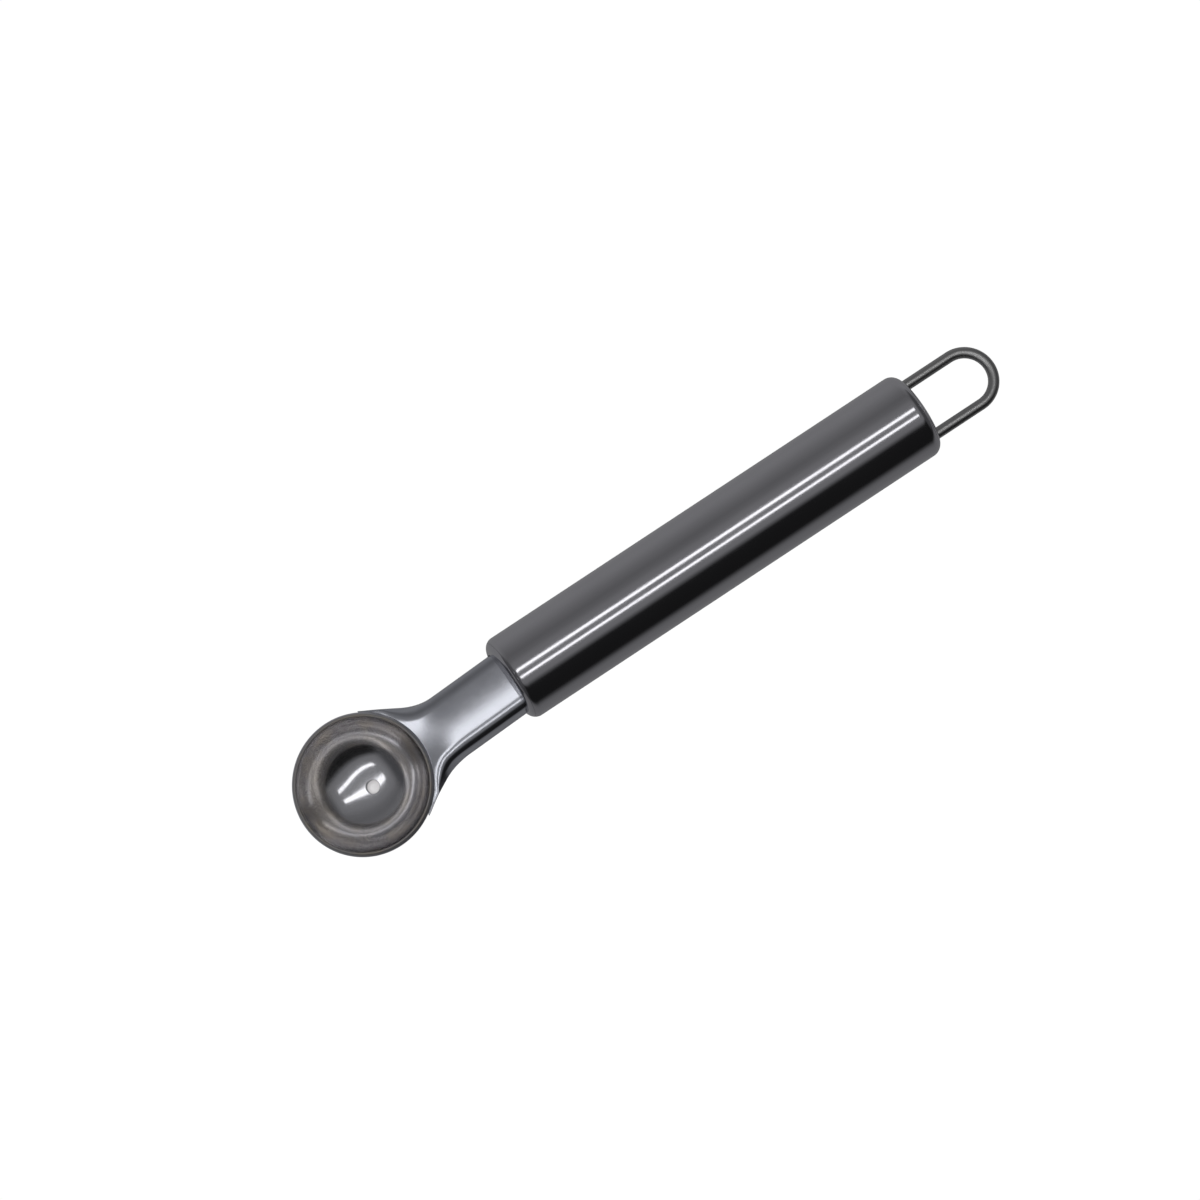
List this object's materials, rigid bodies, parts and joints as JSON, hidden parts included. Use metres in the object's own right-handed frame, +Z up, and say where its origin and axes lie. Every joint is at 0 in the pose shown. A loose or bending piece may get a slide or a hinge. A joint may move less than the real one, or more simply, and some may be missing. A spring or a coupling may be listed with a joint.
{
  "type": "melon baller",
  "caption": "Fruit ball scoop: a round polished bowl with a vent hole on a flared channel neck, held in a capped tube handle with a wire hanging loop.",
  "frame": {"origin": "on the table, under the middle of the whole tool's outline", "axes": "+X along the handle towards the hanging loop, +Y to the left, +Z up out of the bowl's mouth; the tool lies as it lies on a table, on the bowl's bottom and the handle's rear shoulder"},
  "size_m": [0.173, 0.03, 0.027],
  "materials": {
    "bowl_steel": "mirror polished with fine swirl marks",
    "satin_steel": "satin, lightly tumbled",
    "mirror_steel": "mirror polished with fine lengthwise scratches",
    "wire_steel": "bright drawn wire",
    "weld_steel": "dull weld bead"
  },
  "bodies": {
    "root": {"bowl": "bowl_steel", "neck": "satin_steel", "bowl_weld_left": "weld_steel", "bowl_weld_right": "weld_steel", "front_cap": "mirror_steel", "tang_weld_upper": "weld_steel", "tang_weld_lower": "weld_steel", "handle_tube": "mirror_steel", "rear_cap": "mirror_steel", "hanging_loop": "wire_steel", "loop_weld_left": "weld_steel", "loop_weld_right": "weld_steel"}
  },
  "joints": []
}
